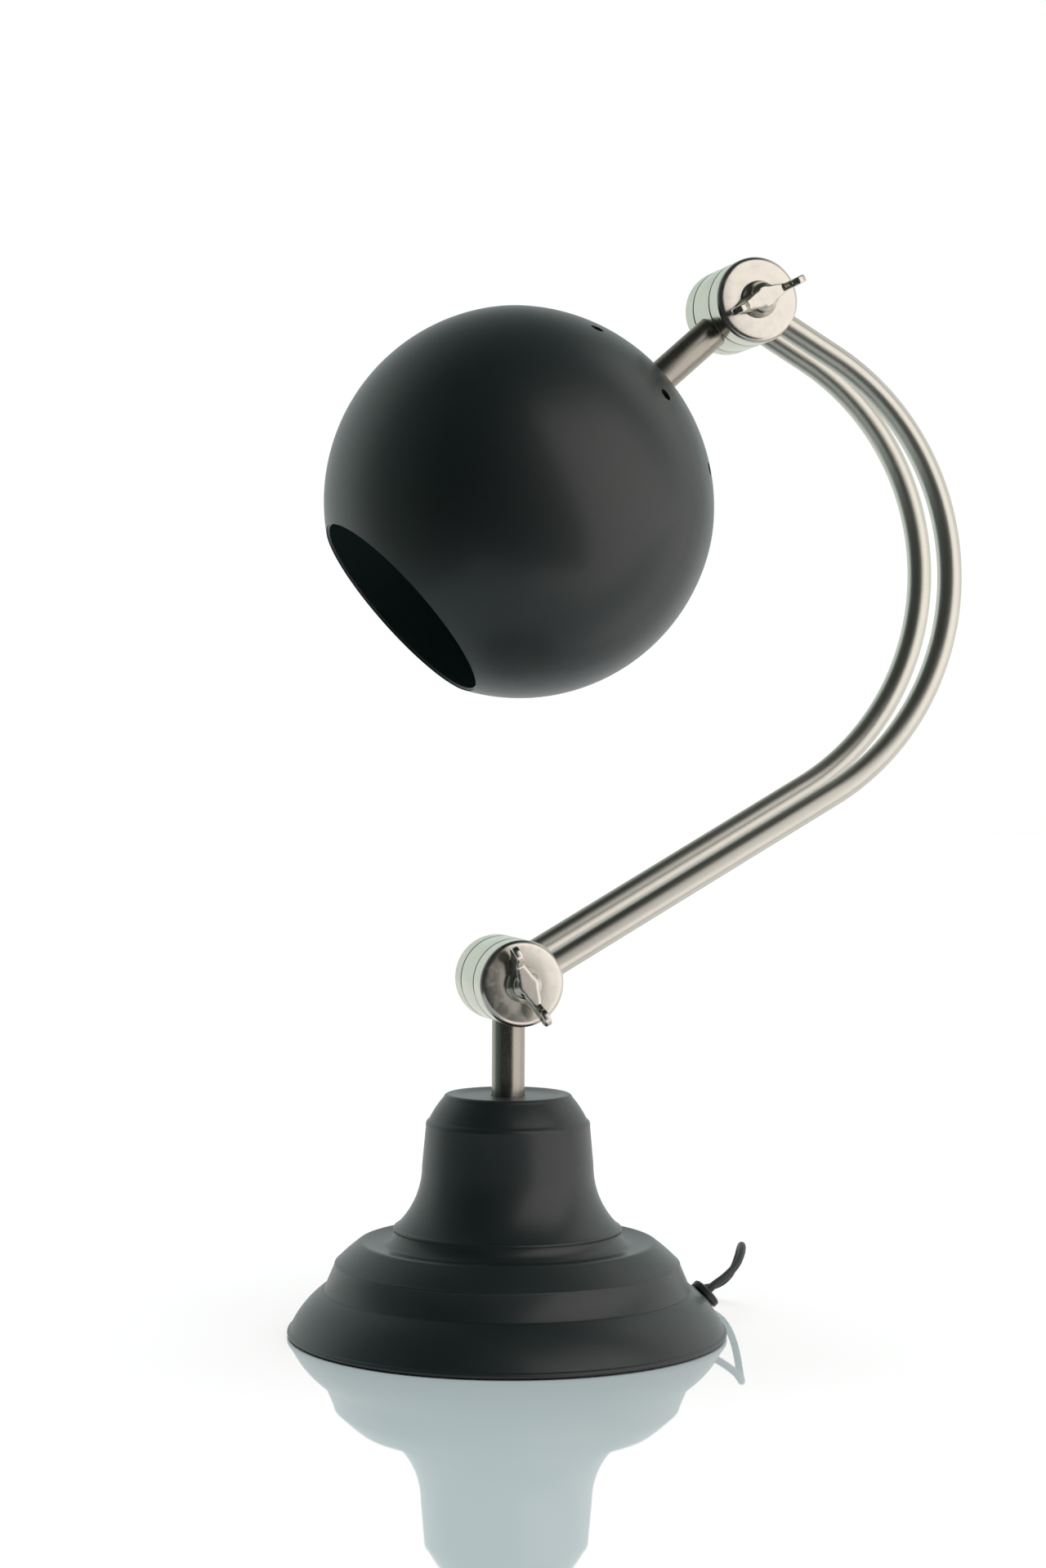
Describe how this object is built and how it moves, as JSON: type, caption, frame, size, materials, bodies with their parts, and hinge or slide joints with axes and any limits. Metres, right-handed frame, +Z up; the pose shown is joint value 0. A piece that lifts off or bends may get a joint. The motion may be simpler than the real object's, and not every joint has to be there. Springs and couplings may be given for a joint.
{
  "type": "adjustable table lamp",
  "caption": "Table lamp with a stepped bell base, a bent twin-tube swing arm and a globe shade, both held by friction pivots with wing nuts.",
  "frame": {"origin": "middle of the base's underside, on the table", "axes": "+Z up; +X from the post toward the arm's bend; the arm swings in the XZ plane; -Y is the wing nuts' side"},
  "size_m": [0.266, 0.2323, 0.4151],
  "materials": {
    "black_paint": "matte",
    "nickel": "satin",
    "steel": "satin",
    "iron": "rough",
    "felt": "matte",
    "fibre": "matte",
    "black_plastic": "satin",
    "rocker_plastic": "gloss",
    "cord": "satin",
    "ceramic": "gloss",
    "brass": "satin",
    "opal": "matte"
  },
  "bodies": {
    "base": {"base_shell": "black_paint", "base_weight": "iron", "base_plate": "steel", "base_pad": "felt", "post_tube": "nickel", "post_nuts": "steel", "post_washers": "steel", "lower_centre_knuckle": "nickel", "base_lead": "cord", "cord_gland": "black_plastic", "gland_clip": "steel", "cord_lead": "cord", "cord_run": "cord", "cord_coil": "cord", "cord_tail": "cord", "cord_ties": "black_plastic", "switch_base": "black_plastic", "switch_cover": "black_plastic", "switch_contacts": "brass", "switch_screws": "steel", "plug_body": "black_plastic", "plug_blades": "steel"},
    "arm": {"front_arm_tube": "nickel", "rear_arm_tube": "nickel", "arm_lead": "cord", "lower_front_knuckle": "nickel", "lower_rear_knuckle": "nickel", "lower_bolt": "steel", "lower_friction_washers": "fibre", "upper_front_knuckle": "nickel", "upper_rear_knuckle": "nickel", "upper_bolt": "steel", "upper_friction_washers": "fibre"},
    "shade": {"upper_centre_knuckle": "nickel", "shade_stem": "nickel", "shade_nipple": "steel", "shade_globe": "black_paint", "shade_washer": "steel", "shade_nut": "steel", "stem_lead": "cord", "holder_cap": "black_plastic", "holder_skirt": "black_plastic", "holder_insert": "ceramic", "screw_shell": "brass", "centre_contact": "brass", "bulb_cap": "steel", "bulb_glass": "opal"},
    "lower_wing_nut": {"lower_wing_nut": "nickel"},
    "upper_wing_nut": {"upper_wing_nut": "nickel"},
    "switch_rocker": {"switch_rocker": "rocker_plastic"}
  },
  "joints": [
    {"name": "arm_pivot", "type": "hinge", "parent": "base", "child": "arm", "pos_m": [0, 0, 0.13586], "axis": [0, -1, 0], "range_deg": [-30, 45]},
    {"name": "shade_pivot", "type": "hinge", "parent": "arm", "child": "shade", "pos_m": [0.09352, 0, 0.39851], "axis": [0, -1, 0], "range_deg": [-100, 42]},
    {"name": "lower_nut_turn", "type": "hinge", "parent": "arm", "child": "lower_wing_nut", "pos_m": [0, 0, 0.13586], "axis": [0, -1, 0], "range_deg": [0, 360]},
    {"name": "upper_nut_turn", "type": "hinge", "parent": "arm", "child": "upper_wing_nut", "pos_m": [0.09352, 0, 0.39851], "axis": [0, -1, 0], "range_deg": [0, 360]},
    {"name": "rocker_tilt", "type": "hinge", "parent": "base", "child": "switch_rocker", "pos_m": [0.06828, 0.08285, 0.011], "axis": [-0.9063, -0.4226, 0], "range_deg": [0, 16]}
  ]
}
